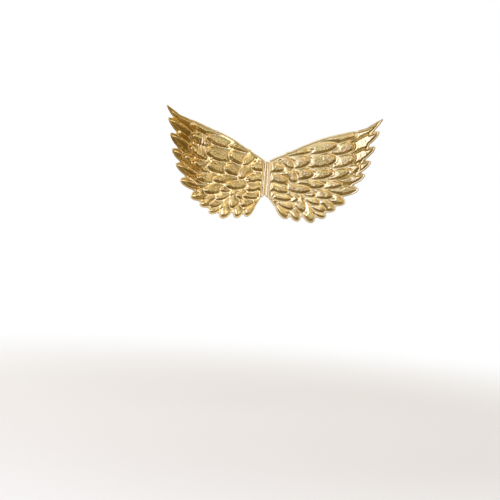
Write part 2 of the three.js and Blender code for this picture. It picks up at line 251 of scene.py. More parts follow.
@dataclass
class WingPattern:
    """The flat pattern of a panel, x outwards from the seam and y up, shared by both wings."""

    span: float = 250.0
    puff: float = 6.6
    full_radius: float = 10.5
    groove: float = 1.5
    spread: float = 5.0
    notch_round: float = 3.0
    rim: float = 5.0
    welt: float = 0.45
    welt_at: float = 0.38
    welt_width: float = 0.26
    welt_groove: float = 0.4
    # The weld line's place inside the outline as a share of the rim, and how strong the painted shade is on
    # it and on a pointed feather's flats.
    weld_at: float = 0.85
    outline_shade: float = 0.75
    tip_shade: float = 0.85
    tone_seed: int = 5
    drawn_down: float = 0.62
    drawn_up: float = 0.48
    roll_limit: Pair = (0.95, 1.9)
    drop_length: float = 0.85
    side_roll: Pair = (4.8, 1.8)
    side_power: float = 2.1
    root_roll: Pair = (10.0, 3.0)
    root_power: float = 1.6
    root_drop: Pair = (0.45, 0.15)
    cell: float = 0.92
    nose_share: Pair = (0.5, 0.75)
    nose_power: Pair = (0.5, 0.72)
    root_width: float = 0.72
    root_share: float = 0.35
    tip_lean: float = 0.6
    outline_steps: int = 22
    reach: float = 12.0

    crinkle: dict[str, float] = field(default_factory=lambda: {"edge": 0.35, "leading": 0.5, "scroll": 0.7})

    @property
    def hundredth(self) -> float:
        """A hundredth of the span, the unit of the tables."""
        return self.span / 100.0

    def middle_line(self, feather: Feather, share: Array) -> tuple[Array, Array]:
        """Points of a feather's middle line, straight but for a pointed tip that leans to its upper edge."""
        heading = math.radians(feather.heading)
        along = (share - 1.0) * feather.length
        lean = (share * share - 1.0) * feather.pointed * self.tip_lean * feather.width
        x = feather.out + along * math.cos(heading) - lean * math.sin(heading)
        y = feather.up + along * math.sin(heading) + lean * math.cos(heading)
        return x * self.hundredth, y * self.hundredth

    def half_width(self, feather: Feather, share: Array) -> Array:
        """Half a feather's width, drawn in to the root, and by a power of an ellipse to the tip."""
        nose = float(np.interp(feather.pointed, (0, 1), self.nose_share))
        power = float(np.interp(feather.pointed, (0, 1), self.nose_power))
        beyond = np.clip((share - (1.0 - nose)) / nose, 0.0, 1.0)
        root = self.root_width + (1.0 - self.root_width) * np.clip(share / self.root_share, 0.0, 1.0)
        return feather.width / 2.0 * self.hundredth * (1.0 - beyond**2) ** power * root

    def outline(self, feather: Feather) -> Array:
        """A feather's outline as corners: up its lower side from the root, round the tip and back."""
        turn = np.linspace(0.0, 1.0, self.outline_steps)
        share = np.sin(turn * math.pi / 2.0)
        heading = math.radians(feather.heading)
        x, y = self.middle_line(feather, share)
        half = self.half_width(feather, share)
        side_x, side_y = -math.sin(heading) * half, math.cos(heading) * half
        lower = np.column_stack([x - side_x, y - side_y])
        upper = np.column_stack([x + side_x, y + side_y])
        return np.concatenate([lower, upper[::-1][1:]])

    def distance(self, x: Array, y: Array, corners: Array) -> Array:
        """Distance to an outline, worked out near it only and the reach elsewhere."""
        low, high = corners.min(0) - self.reach, corners.max(0) + self.reach
        columns = slice(*np.searchsorted(x[:, 0], [low[0], high[0]]))
        rows = slice(*np.searchsorted(y[0], [low[1], high[1]]))
        distance = np.full(x.shape, self.reach)
        distance[columns, rows] = polygon_distance(x[columns, rows], y[columns, rows], corners)
        return distance

    def depth(self, away: Array, backing: Array) -> Array:
        """How far inside the panel's outline a point lies, the notches between feathers filled a little.

        The two least distances to feathers are blended by a parabola where they differ by less than the
        notches' rounding, and the backing joins the feathers as it is.
        """
        first, second = np.sort(away, axis=0)[:2]
        near = np.clip(1.0 - (second - first) / (2.0 * self.notch_round), 0.0, 1.0)
        return -np.minimum(first - 0.5 * self.notch_round * near**2, backing)

    def borders(self, away: Array, index: int) -> tuple[Array, Array]:
        """Distances of a feather's points to the feathers above it and to its other neighbours.

        A border runs along the outline of the upper feather, or where ground between two outlines is wider
        than the spread, that far from the lower one.

        Args:
            away: distance to each feather's outline, one row for each feather.
            index: the feather's place in the list.

        Returns:
            The distance to the nearest feather above, and to the nearest border with any other.
        """
        own, above, below = away[index], away[:index], away[index + 1 :]
        reach = np.full((1, own.size), self.reach)
        upper = np.concatenate([above, reach]).min(0)
        lower = np.concatenate([np.maximum(-own, below - self.spread), (self.spread - own)[None]]).min(0)
        return upper, lower

    def build(self) -> PanelField:
        """The whole pattern on a grid.

        The top feather at a point is the first of the list that holds it, and ground that none holds goes
        to the last one within the spread, as feathers run on under those above. Its padding rises from the
        grooves round what shows of it, over a longer way where the feather before it lies on its root, and
        falls to the panel's flat rim.

        Returns:
            The field of heights and shares.
        """
        unit = self.hundredth
        x, y = np.meshgrid(
            np.arange(-self.cell, self.span + 3 * self.cell, self.cell),
            np.arange(-self.drawn_down * self.span, self.drawn_up * self.span, self.cell),
            indexing="ij",
        )
        table = np.array(BACKING_SECTIONS) * unit
        backing = np.concatenate([table[:, [0, 2]], table[::-1][:, [0, 1]]])
        away = np.stack([self.distance(x, y, self.outline(feather)) for feather in FEATHERS])
        depth = self.depth(away, self.distance(x, y, backing))

        held, near = away < 0, away < self.spread
        last = len(FEATHERS) - 1 - near[::-1].argmax(0)
        owner = np.where(held.any(0), held.argmax(0), np.where(near.any(0) & (depth > 0), last, -1))

        rise, height, along, across, tone, crinkle, tipped, dome = np.zeros((8, *x.shape))
        shades = np.random.default_rng(self.tone_seed).uniform(0.0, 1.0, len(FEATHERS))
        for index, feather in enumerate(FEATHERS):
            mine = owner == index
            if not mine.any():
                continue
            upper, lower = self.borders(away[:, mine], index)
            lower = np.minimum(lower, depth[mine] - self.rim + self.groove)
            side = np.clip(lower - self.groove, 0.0, None)
            root = np.clip(upper - self.groove, 0.0, None)
            radius = max(float(np.minimum(side, root).max()), 0.1)
            side_roll, root_roll, root_drop = (
                float(np.interp(feather.pointed, (0, 0.5), pair))
                for pair in (self.side_roll, self.root_roll, self.root_drop)
            )
            side_roll = min(side_roll, self.roll_limit[0] * radius)
            root_roll = min(root_roll, self.roll_limit[1] * radius)
            ramp = self.swell(root / root_roll, self.root_power)
            share = self.swell(side / side_roll, self.side_power) * ramp
            heading = math.radians(feather.heading)
            dx, dy = x[mine] - feather.out * unit, y[mine] - feather.up * unit
            along[mine] = dx * math.cos(heading) + dy * math.sin(heading)
            drop = root_drop * np.clip(-along[mine] / (self.drop_length * feather.length * unit), 0.0, 1.0)
            rise[mine] = share
            height[mine] = self.puff * min(1.0, math.sqrt(radius / self.full_radius)) * share * (1.0 - drop)
            across[mine] = dy * math.cos(heading) - dx * math.sin(heading)
            dome[mine] = np.clip(1.0 - (across[mine] / (0.5 * feather.width * unit)) ** 2, 0.0, 1.0)
            tone[mine] = shades[index]
            crinkle[mine] = self.crinkle.get(feather.group, 1.0)
            # Painted shade over the flat grooves and rim of a pointed feather.
            border = 1.0 - smoothstep(np.minimum(side, root), 0.5 * self.groove, 1.6 * self.groove)
            flat = np.maximum(border, self.rim_share(depth[mine]))
            tipped[mine] = self.tip_shade * min(1.0, 2.0 * feather.pointed) * flat
        outline = self.band(depth, self.weld_at)
        welt = self.welt * (self.band(depth, self.welt_at, self.welt_width) - self.welt_groove * outline)
        height = softened(height, 1) + np.where(depth > 0, welt, 0.0)
        rise, crinkle = softened(rise, 1), softened(crinkle, 2)
        # Painted shade: a dark band along the weld line, and a pointed feather's flats.
        weld = np.maximum(self.outline_shade * outline, tipped)
        dome = softened(rise * dome, 2)
        return PanelField(x, y, depth, rise, height, along, across, tone, crinkle, weld, dome)

    def rim_share(self, depth: Array) -> Array:
        """1 on the panel's rim, fading out towards the padding."""
        return 1.0 - smoothstep(depth, 0.5 * self.rim, 0.8 * self.rim)

    def band(self, depth: Array, share: float, width: float = 0.17) -> Array:
        """A bell curve from 0 to 1 along the panel's outline, its place and width as shares of the rim's."""
        return np.exp(-(((depth - share * self.rim) / (width * self.rim)) ** 2))

    @staticmethod
    def swell(share: Array, power: float) -> Array:
        """A rise from 0 that gets level at 1, the steeper at 0 the higher the power."""
        return 1.0 - (1.0 - np.clip(share, 0.0, 1.0)) ** power

    @staticmethod
    def rounded(share: Array) -> Array:
        """A quarter of a circle: steep at 0 and level from 1 on."""
        left = 1.0 - np.clip(share, 0.0, 1.0)
        return np.sqrt(1.0 - left * left)


# How a panel hangs


@dataclass(frozen=True)
class Pull:
    """A pull that moves cloth off its pattern, in hundredths of the span. Front is towards the viewer."""

    out: float
    up: float
    reach: float
    shift_out: float
    shift_up: float
    shift_front: float


@dataclass(frozen=True)
class Fold:
    """An upright line where a panel turns back: hundredths of the span, the turn, and a softness in mm."""

    out: float
    turn: float
    softness: float


@dataclass(frozen=True)
class Buckle:
    """A patch of upright creases in hundredths of the span, the depth of its creases in millimetres."""

    out: float
    up: float
    half_out: float
    half_up: float
    spacing: float
    depth: float


def add_object(name: str, data: bpy.types.ID) -> bpy.types.Object:
    """An object that holds the data, linked to the scene."""
    made = bpy.data.objects.new(name, data)
    bpy.context.scene.collection.objects.link(made)
    return made


def mesh_object(name: str, points: Array, faces: list[list[int]]) -> bpy.types.Object:
    """A smooth mesh object at the origin.

    Args:
        name: the piece's name.
        points: corners in millimetres, one row each.
        faces: the corner numbers of each face.

    Returns:
        The object, linked to the scene.
    """
    mesh = bpy.data.meshes.new(name)
    mesh.from_pydata((points * MM).tolist(), [], faces)
    mesh.polygons.foreach_set("use_smooth", np.ones(len(faces), bool))
    mesh.update()
    return add_object(name, mesh)


def give_attributes(piece: bpy.types.Object, shares: dict[str, Any]) -> None:
    """Stores numbers at the piece's corners for its material to read: an array, or one number for all."""
    for name, values in shares.items():
        layer = piece.data.attributes.new(name, "FLOAT", "POINT")
        layer.data.foreach_set("value", np.full(len(piece.data.vertices), values, np.float32))


def give_map(piece: bpy.types.Object, corners: Array) -> None:
    """Stores a UV map from one pair of numbers for each corner of the mesh."""
    loops = np.zeros(len(piece.data.loops), int)
    piece.data.loops.foreach_get("vertex_index", loops)
    layer = piece.data.uv_layers.new(name="cloth")
    layer.data.foreach_set("uv", corners[loops].astype(np.float32).ravel())


def tube_faces(rings: int, count: int) -> Array:
    """Quads that join rings of the same number of points, each ring closed on itself."""
    ring, point = np.meshgrid(np.arange(rings - 1), np.arange(count), indexing="ij")
    here, there = ring * count + point, ring * count + (point + 1) % count
    return np.stack([here, there, there + count, here + count], axis=-1).reshape(-1, 4)


@dataclass
class SeamShape:
    """Sizes of the centre seam that the panels line up with."""

    length: float = 76.0
    roll: float = 2.2
    gap_top: float = 0.2
    gap_foot: float = 5.2
    base: float = 1.4
    point: float = 6.5

    def half_width(self, height: Array) -> Array:
        """Half the seam's width at a height above its middle, wider towards the foot."""
        share = np.clip(0.5 - height / self.length, 0.0, 1.0)
        return 2.0 * self.roll + (self.gap_top + (self.gap_foot - self.gap_top) * share) / 2.0


@dataclass
class Wing:
    """One padded panel: its pattern, and how it hangs from the seam."""

    side: Side
    pattern: WingPattern
    field: PanelField
    seam: SeamShape
    pulls: Sequence[Pull]
    fold: Fold
    buckles: Sequence[Buckle] = ()
    seed: int = 1
    sweep: float = math.radians(12.5)
    flange: float = 1.6
    backing: float = 0.5
    cup: float = 7.0
    clearance: float = 0.35
    sewn_share: float = 0.1
    edge_round: float = 0.7
    crease: float = 0.34
    imprint: float = 0.9
    sway: float = 1.6
    fan_shade_and_crown: float = 0.0
    # How far the fan beyond the fold is crowned and smoothed, and darkened to amber as painted shade.
    crown: float = 14.0
    back_puff: float = 0.35
    wide_bumps: Pair = (9.0, 15.0)
    fine_bumps: Pair = (3.8, 4.2)
    tiny_bumps: Pair = (2.3, 2.5)
    sway_bumps: Pair = (62.0, 48.0)
    buckle_bumps: Pair = (50.0, 36.0)
    buckle_waver: float = 1.2
    back_wrinkles: float = 0.3
    creased_left: float = 0.25

    @property
    def node(self) -> str:
        """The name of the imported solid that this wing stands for."""
        return f"{self.side.name.lower()}_wing"

    def turned(self) -> Array:
        """Up to the panel's fan share where the cloth lies beyond the fold: it crowns and smooths the cloth
        there, and sets how far painted shade darkens its foil to amber.
        """
        beyond = self.field.x - self.fold.out * self.pattern.hundredth
        return self.fan_shade_and_crown * smoothstep(beyond, -25.0, 20.0)

    def noise(self, u: Array, v: Array, bumps: Pair, start: Pair, kind: int) -> Array:
        """The wing's own noise, its bumps' length both ways and its start in the table given."""
        return cloth_noise(u / bumps[0] + start[0], v / bumps[1] + start[1], self.seed + kind)

    def wrinkles(self, left: Array) -> Array:
        """Small creases on the padding, across each feather, with finer ones on top where padding is left."""
        f = self.field
        wide = self.noise(f.along, f.across, self.wide_bumps, (40.0, 90.0), 0)
        fine = self.noise(f.x, f.y, self.fine_bumps, (9.0, 70.0), 1)
        tiny = self.noise(f.x, f.y, self.tiny_bumps, (30.0, 50.0), 2)
        crinkle = f.crinkle * left**2 * np.clip(1.0 - 2.2 * self.turned(), 0.0, 1.0)
        return self.crease * f.puff * (0.8 * wide + crinkle * (fine + 0.5 * tiny))

    def buckling(self) -> tuple[Array, Array]:
        """Upright creases in the patches where the panel gives way, fading out as a bell curve.

        A crease stands up sharply where a sine passes 0, and the cloth between two of them sags.

        Returns:
            The height of the creases, and the share of the padding that they leave.
        """
        f, unit = self.field, self.pattern.hundredth
        total, left = np.zeros(f.x.shape), np.ones(f.x.shape)
        for buckle in self.buckles:
            dx, dy = f.x / unit - buckle.out, f.y / unit - buckle.up
            bell = np.exp(-((dx / buckle.half_out) ** 2) - (dy / buckle.half_up) ** 2)
            bent = dx + self.buckle_waver * self.noise(f.x, f.y, self.buckle_bumps, (0.0, 0.0), 7)
            ridge = (1.0 - np.abs(np.sin(math.pi * bent / buckle.spacing))) ** 2
            total += buckle.depth * bell * (ridge - 0.3)
            left -= (1.0 - self.creased_left) * bell
        return total, np.clip(left, self.creased_left, 1.0)

    def pulled(self, x: Array, y: Array) -> tuple[Array, Array, Array]:
        """Points as the pulls move them, each pull fading as a bell curve, with none at the seam."""
        unit = self.pattern.hundredth
        free = smoothstep(x, 0.0, self.sewn_share * self.pattern.span) * unit
        dx, dy, dz = np.zeros(x.shape), np.zeros(x.shape), np.zeros(x.shape)
        for pull in self.pulls:
            away = ((x / unit - pull.out) ** 2 + (y / unit - pull.up) ** 2) / pull.reach**2
            strength = free * np.exp(-away)
            dx += pull.shift_out * strength
            dy += pull.shift_up * strength
            dz += pull.shift_front * strength
        return x + dx, y + dy, dz

    def hang(self, x: Array, y: Array, front: Array) -> Array:
        """Points of the hanging panel.

        The pattern is pulled, cupped by the square of the distance from the seam, turned back beyond the
        fold by a softened ramp, and leaned away from the wearer's back.

        Args:
            x: outwards on the flat pattern.
            y: up on the flat pattern, from the seam's top.
            front: height above the pattern's plane, towards the viewer.

        Returns:
            One row of x, y and z in millimetres for each point.
        """
        top = self.seam.length / 2.0
        x, y, dz = self.pulled(x, y)
        fold_at = self.fold.out * self.pattern.hundredth
        beyond = self.fold.softness * np.logaddexp(0.0, (x - fold_at) / self.fold.softness)
        waves = self.noise(x, y, self.sway_bumps, (3.0, 12.0), 3)
        front = front + dz + self.sway * smoothstep(x, 20.0, 90.0) * waves
        front = front + self.cup * (x / self.pattern.span) ** 2 - math.tan(self.fold.turn) * beyond
        start = self.seam.half_width(y + top) + self.clearance + self.flange * math.sin(self.sweep)
        across = start + x * math.cos(self.sweep) - front * math.sin(self.sweep)
        back = -(x * math.sin(self.sweep) + front * math.cos(self.sweep)) - self.backing
        return np.stack([self.side.value * across, back, y + top], axis=-1)

    def build(self) -> bpy.types.Object:
        """The panel as one closed mesh: a front and a back grid that share the points of the outline.

        Squares of the grid whose corners lie inside the outline are kept, and the corners of the kept
        area's edge are moved onto the outline along the distance's slope.

        Returns:
            The wing's object.
        """
        f, cell = self.field, self.pattern.cell
        inside = f.depth > -0.35 * cell
        square = inside[:-1, :-1] & inside[1:, :-1] & inside[1:, 1:] & inside[:-1, 1:]
        around = np.pad(square.astype(int), 1)
        count = around[:-1, :-1] + around[1:, :-1] + around[1:, 1:] + around[:-1, 1:]
        used, edge = count > 0, (count > 0) & (count < 4)

        slope_x, slope_y = np.gradient(f.depth, cell)
        steep = np.maximum(np.hypot(slope_x, slope_y), 0.3)
        step = np.where(edge, f.depth / steep, 0.0)
        x = f.x - step * slope_x / steep
        y = f.y - step * slope_y / steep

        depth = np.where(edge, 0.0, np.clip(f.depth, 0.0, None))
        turn = WingPattern.rounded(depth / self.edge_round)
        middle = (self.flange - self.backing) / 2.0
        creases, left = self.buckling()
        wrinkles = self.wrinkles(left)
        relief = left * f.height + wrinkles + creases * smoothstep(depth, 0.0, 12.0)
        relief = relief + self.crown * self.turned() * f.dome
        front = middle + (self.flange - middle + relief) * turn
        imprint = self.imprint * softened(f.puff, 2) + self.back_wrinkles * wrinkles
        back = middle - (middle + self.backing + imprint) * turn

        front_points = self.hang(x, y, front)[used]
        inner = used & ~edge
        back_points = self.hang(x, y, back)[inner]
        front_number = np.full(f.x.shape, -1)
        front_number[used] = np.arange(used.sum())
        back_number = front_number.copy()
        back_number[inner] = used.sum() + np.arange(inner.sum())

        def quads(number: Array) -> Array:
            """The kept squares as rows of corner numbers."""
            corners = [number[:-1, :-1], number[1:, :-1], number[1:, 1:], number[:-1, 1:]]
            return np.stack([corner[square] for corner in corners], axis=-1)

        front_faces, back_faces = quads(front_number), quads(back_number)[:, ::-1]
        if self.side is Side.LEFT:
            front_faces, back_faces = front_faces[:, ::-1], back_faces[:, ::-1]
        piece = mesh_object(
            self.node.replace("wing", "feathered_panel"),
            np.concatenate([front_points, back_points]),
            np.concatenate([front_faces, back_faces]).tolist(),
        )
        puff = np.concatenate([f.puff[used], self.back_puff * f.puff[inner]])
        # The rim's paler edge and its painted highlight, left off where painted shade lies.
        rim = self.pattern.rim_share(f.depth) * (1.0 - f.weld)
        crinkle, warm = f.crinkle * left, self.turned()
        grids = {"tone": f.tone, "rim": rim, "weld": f.weld, "crinkle": crinkle, "warm": warm}
        shares = {name: np.concatenate([grid[used], grid[inner]]) for name, grid in grids.items()}
        give_attributes(piece, {"puff": puff, **shares})
        cloth = np.stack([f.along, f.across], -1) / MAP_UNIT
        give_map(piece, np.concatenate([cloth[used], cloth[inner]]))
        return piece


# The seam and the elastics


@dataclass
class CentreSeam:
    """The seam: two rolled edges of foil cloth that stand up on a tape."""

    shape: SeamShape
    steps: int = 150
    roll_steps: int = 18
    gather: float = 0.28
    end_round: float = 1.6
    crest: float = 1.15
    # Shares of painted highlight on the rolls' crests and of painted shade in the seam's crease and along its
    # sides.
    rim_share: float = 0.55
    seam_shade: float = 0.75

    def build(self) -> bpy.types.Object:
        """The seam as a section carried up its length.

        Each half of the section is a half circle beside the middle line, its radius gathered by noise. The
        ends draw in as a quarter of a circle does, and the sides hang lower than the middle by the seam's
        point at the foot.

        Returns:
            The seam's object.
        """
        shape = self.shape
        z = np.linspace(-shape.length / 2.0, shape.length / 2.0, self.steps)[:, None]
        turn = np.linspace(1.0, 0.0, self.roll_steps)[None, :]
        half = shape.half_width(z)
        end = WingPattern.rounded((shape.length / 2.0 - np.abs(z)) / self.end_round)
        sides = []
        for sign, seed in ((1.0, 21), (-1.0, 22)):
            gathers = 1.0 + self.gather * cloth_noise(z / 5.5, turn * 1.5 + 7.0, seed)
            fine = 1.0 + 0.12 * cloth_noise(z / 2.0, turn * 3.0 + 20.0, seed + 4)
            radius = shape.roll * (1.0 - 0.5 * self.gather + 0.5 * self.gather * gathers * fine)
            centre = half - shape.roll
            x = centre + np.minimum(radius, shape.roll) * np.cos(math.pi * turn)
            y = -(shape.base + radius * np.sin(math.pi * turn) * self.crest)
            sides.append((sign * x, y))
        right, left = sides
        back = np.zeros_like(half)
        x = np.concatenate([-half, left[0][:, ::-1], 0 * half, right[0], half, 0 * half], axis=1)
        y = np.concatenate([back, left[1][:, ::-1], back - shape.base, right[1], back, back], axis=1)
        sag = shape.point * np.abs(x) / half * (1.0 - smoothstep(z, -shape.length / 2.0, -shape.length / 6.0))
        x, y = x * (0.8 + 0.2 * end), y * (0.15 + 0.85 * end)
        count = x.shape[1]
        points = np.stack([x, y, z - sag], axis=-1).reshape(-1, 3)
        faces = tube_faces(self.steps, count)
        ends = np.array([[0.0, -0.2, side * shape.length / 2.0] for side in (-1.0, 1.0)])
        piece = closed_tube("rolled_centre_seam", points, faces, ends)
        inner, centres = np.abs(x) / half, [0.0, 0.0]
        # Painted highlight on the rolls' raised crests, and painted shade along the middle crease and both
        # outer sides.
        raised = smoothstep(-y, 0.55 * shape.roll, 1.2 * shape.roll)
        fold = np.maximum(1.0 - smoothstep(inner, 0.12, 0.42), smoothstep(inner, 0.82, 0.97))
        shares = {
            "puff": 0.25,
            "tone": 0.5,
            "rim": np.append(self.rim_share * raised, centres),
            "weld": np.append(self.seam_shade * fold, centres),
            "crinkle": 0.3,
            "warm": 0.0,
        }
        give_attributes(piece, shares)
        return piece


def closed_tube(name: str, points: Array, faces: Array, ends: Array) -> bpy.types.Object:
    """A tube's object with both ends filled by a fan round their middle, its faces turned outwards.

    Args:
        name: the piece's name.
        points: the rings' points, one row each.
        faces: the tube's quads.
        ends: the two points that the fans meet in, one row each.

    Returns:
        The closed tube.
    """
    total = len(points)
    count = total - len(faces)
    points = np.concatenate([points, ends])
    ring = np.arange(count)
    following = (ring + 1) % count
    start = np.stack([following, ring, np.full(count, total)], axis=-1)
    offset = total - count
    finish = np.stack([offset + ring, offset + following, np.full(count, total + 1)], axis=-1)
    piece = mesh_object(name, points, faces.tolist() + start.tolist() + finish.tolist())
    turn_outwards(piece)
    return piece


def turn_outwards(piece: bpy.types.Object) -> None:
    """Turns all faces of a closed mesh over if its signed volume is less than 0."""
    mesh = piece.data
    mesh.calc_loop_triangles()
    co = np.zeros(len(mesh.vertices) * 3)
    mesh.vertices.foreach_get("co", co)
    corners = np.zeros(len(mesh.loop_triangles) * 3, int)
    mesh.loop_triangles.foreach_get("vertices", corners)
    a, b, c = co.reshape(-1, 3)[corners.reshape(-1, 3)].transpose(1, 0, 2)
    if np.einsum("ij,ij->i", a, np.cross(b, c)).sum() < 0.0:
        mesh.flip_normals()


@dataclass
class ShoulderStrap:
    """A plain elastic loop, both ends sewn to the wearer's side of the seam."""

    side: Side
    seam: SeamShape
    width: float = 12.0
    thickness: float = 1.2
    reach: float = 92.0
    spread: float = 52.0
    bulge: float = 14.0
    end_gap: float = 3.0
    flat: float = 12.0
    margin: float = 6.0
    clearance: float = 0.35
    steps: int = 260
    ribs: int = 9

    def route(self) -> Array:
        """Points that the loop's middle line passes, from its upper end round to its lower end."""
        sewn = self.seam.length / 2.0 - self.margin
        inner = (sewn - self.flat) / sewn
        table = np.array(
            [
                # share of the reach, of the sewn end's height, of the bulge, of the spread
                (0, inner, 0, 0),
                (0, (1 + inner) / 2, 0, 0),
                (0.02, 1, 0, 0.02),
                (0.16, 1, 0.35, 0.2),
                (0.42, 1, 1, 0.55),
                (0.72, 1, 0.6, 0.9),
                (0.96, 0.46, 0, 1),
                (1, -0.4, 0, 1),
                (0.84, -1, -0.2, 0.92),
                (0.54, -1, -0.86, 0.68),
                (0.22, -1, -0.6, 0.32),
                (0.02, -1, 0, 0.02),
                (0, -(1 + inner) / 2, 0, 0),
                (0, -inner, 0, 0),
            ]
        )
        end = (self.width + self.end_gap) / 2.0
        x = self.side.value * (end + table[:, 3] * self.spread)
        y = self.clearance + self.thickness / 2.0 + table[:, 0] * self.reach
        return np.column_stack([x, y, table[:, 1] * sewn + table[:, 2] * self.bulge])

    def middle_line(self) -> Array:
        """A centripetal spline through the route's points, as evenly spaced points."""
        route = self.route()
        ends = 2 * route[[0, -1]] - route[[1, -2]]
        p = np.concatenate([ends[:1], route, ends[1:]])
        knots = travelled(p, 0.5)
        pieces = []
        for i in range(1, len(p) - 2):
            t = np.linspace(knots[i], knots[i + 1], 24, endpoint=i == len(p) - 3)[:, None]

            def between(a: Array, b: Array, low: float, high: float) -> Array:
                """The straight blend of two curves between two knots."""
                return ((high - t) * a + (t - low) * b) / (high - low)

            k = knots[i - 1 : i + 3]
            first = [between(p[i + j - 1], p[i + j], k[j], k[j + 1]) for j in range(3)]
            second = [between(first[j], first[j + 1], k[j], k[j + 2]) for j in range(2)]
            pieces.append(between(second[0], second[1], k[1], k[2]))
        curve = np.concatenate(pieces)
        far = travelled(curve)
        even = np.linspace(0.0, far[-1], self.steps)
        return np.column_stack([np.interp(even, far, curve[:, i]) for i in range(3)])

    def section(self) -> Array:
        """Half of the band's section as pairs of across and out shares, with low ribs along both faces."""
        across = np.linspace(-0.5, 0.5, 8 * self.ribs + 1)
        edge = WingPattern.rounded((0.5 - np.abs(across)) / 0.06)
        rib = 1.0 - 0.16 * (0.5 - 0.5 * np.cos(2 * math.pi * self.ribs * (across + 0.5)))
        face = 0.5 * np.maximum(edge, 0.02) * rib
        upper = np.column_stack([across, face])
        lower = np.column_stack([across, -face])[::-1][1:-1]
        return np.concatenate([upper, lower])

    def build(self) -> bpy.types.Object:
        """The elastic as its section carried along the middle line, its width kept level across the body."""
        middle = self.middle_line()
        along = np.gradient(middle, axis=0)
        along /= np.linalg.norm(along, axis=1, keepdims=True)
        normal = np.cross(along, np.array([1.0, 0.0, 0.0]))
        normal /= np.linalg.norm(normal, axis=1, keepdims=True)
        across = np.cross(normal, along)
        section = self.section()
        points = (
            middle[:, None]
            + section[None, :, :1] * self.width * across[:, None]
            + section[None, :, 1:] * self.thickness * normal[:, None]
        )
        rings, count = points.shape[:2]
        name = f"{self.side.name.lower()}_elastic_loop"
        piece = closed_tube(name, points.reshape(-1, 3), tube_faces(rings, count), middle[[0, -1]])
        far = travelled(middle)
        LOG.info("%s is %.0f mm long", name, far[-1])
        u = np.repeat(far, count)
        v = np.tile(section[:, 0] * self.width, rings)
        ends = np.array([[0.0, 0.0], [far[-1], 0.0]])
        give_map(piece, np.concatenate([np.column_stack([u, v]), ends]) / MAP_UNIT)
        return piece


# Materials


class Socket:
    """A node's output that takes part in sums: each operator adds the Math node that works it out."""

    def __init__(self, graph: Graph, output: bpy.types.NodeSocket) -> None:
        """Keeps the output and the graph that it belongs to."""
        self.graph = graph
        self.output = output

    def _math(self, operation: str, *values: Any) -> Socket:
        """A Math node of that operation on the values."""
        return self.graph.node("ShaderNodeMath", {"operation": operation}, dict(enumerate(values)))

    def __add__(self, other: Any) -> Socket:
        """Sum."""
        return self._math("ADD", self, other)

    __radd__ = __add__

    def __mul__(self, other: Any) -> Socket:
        """Product."""
        return self._math("MULTIPLY", self, other)

    __rmul__ = __mul__

    def __sub__(self, other: Any) -> Socket:
        """Difference."""
        return self._math("SUBTRACT", self, other)

    def __rsub__(self, other: Any) -> Socket:
        """Difference from a plain number."""
        return self._math("SUBTRACT", other, self)

    def __pow__(self, other: Any) -> Socket:
        """Power."""
        return self._math("POWER", self, other)

    def clamped(self) -> Socket:
        """The value held between 0 and 1."""
        return self.graph.node("ShaderNodeClamp", {}, {"Value": self})

    def sine(self) -> Socket:
        """Sine of the value in radians."""
        return self._math("SINE", self)

    def part(self, axis: int) -> Socket:
        """One part of a vector."""
        return self.graph.node("ShaderNodeSeparateXYZ", {}, {"Vector": self}, axis)


class Graph:
    """A material's or world's nodes, made from Python expressions."""

    def __init__(self, owner: bpy.types.Material | bpy.types.World) -> None:
        """Starts with an empty node tree and its output node."""
        owner.use_nodes = True
        self.tree = owner.node_tree
        self.tree.nodes.clear()
        kind = "ShaderNodeOutputWorld" if isinstance(owner, bpy.types.World) else "ShaderNodeOutputMaterial"
        self.out = self.tree.nodes.new(kind)

    def node(
        self, kind: str, settings: dict[str, Any], inputs: dict[Any, Any], output: int | str = 0
    ) -> Socket:
        """Adds a node.

        Args:
            kind: the node's type.
            settings: properties that are set first; a list under "ramp" holds a ramp's stops.
            inputs: a value or a Socket for each input, by name or number.
            output: which output is given back.

        Returns:
            That output.
        """
        made = self.tree.nodes.new(kind)
        for name, value in settings.items():
            if name == "ramp":
                self._fill_ramp(made.color_ramp, value)
            else:
                setattr(made, name, value)
        for name, value in inputs.items():
            if isinstance(value, Socket):
                self.tree.links.new(value.output, made.inputs[name])
            else:
                made.inputs[name].default_value = value
        return Socket(self, made.outputs[output])

    @staticmethod
    def _fill_ramp(ramp: bpy.types.ColorRamp, stops: Sequence[tuple[float, Sequence[float]]]) -> None:
        """Gives a colour ramp its stops."""
        while len(ramp.elements) < len(stops):
            ramp.elements.new(0.5)
        for element, (position, colour) in zip(ramp.elements, stops):
            element.position = position
            element.color = (*colour, 1.0)

    def mix(self, share: Any, first: Any, second: Any, blend: str = "MIX") -> Socket:
        """A colour between two colours, or between the first and its blend with the second."""
        first, second = (value if isinstance(value, Socket) else (*value, 1.0) for value in (first, second))
        settings = {"data_type": "RGBA", "blend_type": blend}
        return self.node("ShaderNodeMix", settings, {0: share, 6: first, 7: second}, 2)

    def attribute(self, name: str) -> Socket:
        """A number that the mesh holds."""
        return self.node("ShaderNodeAttribute", {"attribute_name": name}, {}, "Fac")

    def place(self) -> Socket:
        """The point's place on the object, in metres."""
        return self.node("ShaderNodeTexCoord", {}, {}, "Object")

    def cloth(self) -> Socket:
        """The piece's own map, in hundredths of a metre."""
        return self.node("ShaderNodeUVMap", {"uv_map": "cloth"}, {})

    def noise(self, vector: Socket, scale: float, detail: float = 2.0, roughness: float = 0.5) -> Socket:
        """Noise from 0 to 1."""
        inputs = {"Vector": vector, "Scale": scale, "Detail": detail, "Roughness": roughness}
        return self.node("ShaderNodeTexNoise", {}, inputs)

    def bump(self, height: Socket, distance: float, strength: float = 1.0) -> Socket:
        """A normal from a height."""
        return self.node("ShaderNodeBump", {}, {"Height": height, "Distance": distance, "Strength": strength})

    def finish(self, kind: str, inputs: dict[str, Any]) -> None:
        """Adds the shader and links it to the output."""
        self.tree.links.new(self.node(kind, {}, inputs).output, self.out.inputs["Surface"])


